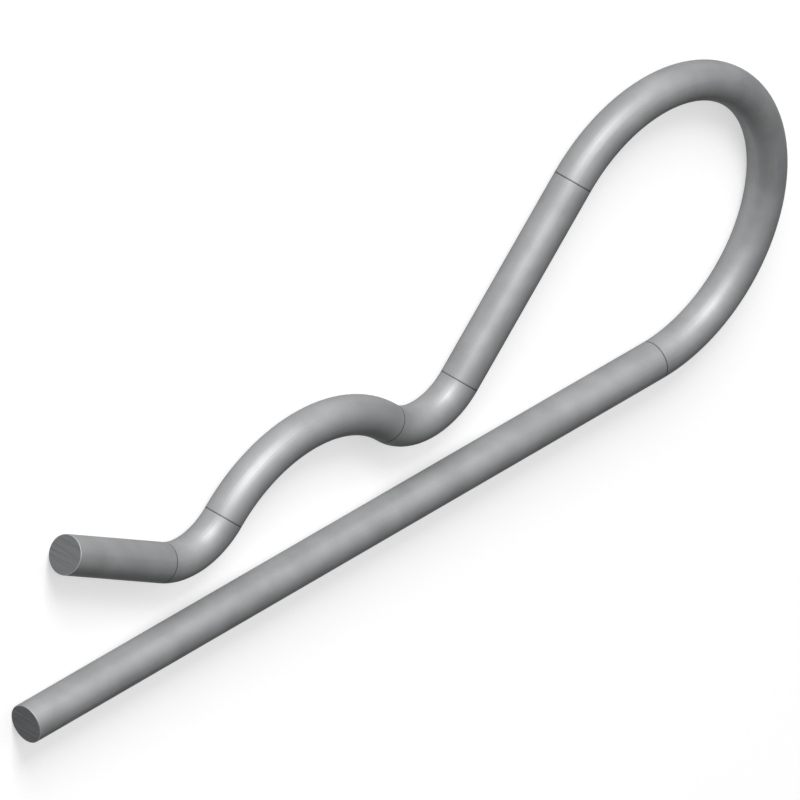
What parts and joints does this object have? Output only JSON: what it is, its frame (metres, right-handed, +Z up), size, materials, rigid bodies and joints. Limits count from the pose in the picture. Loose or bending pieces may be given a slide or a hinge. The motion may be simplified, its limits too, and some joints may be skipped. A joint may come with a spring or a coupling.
{
  "type": "hitch pin r-clip",
  "caption": "Spring wire R-clip with a straight leg, a round spring loop and a humped arm that snaps over a hitch pin's shaft to lock it.",
  "frame": {"origin": "centre of the shaft that the clip holds, on the axis of the straight leg", "axes": "+X along the leg from its free end towards the loop, +Y towards the humped arm, +Z up, along the shaft and across the flat of the lying clip"},
  "size_m": [0.0775, 0.0266, 0.003],
  "materials": {
    "spring_steel": "hard-drawn spring steel wire, zinc coated and drawn, dull satin grey"
  },
  "bodies": {
    "root": {"clip_wire": "spring_steel"}
  },
  "joints": []
}
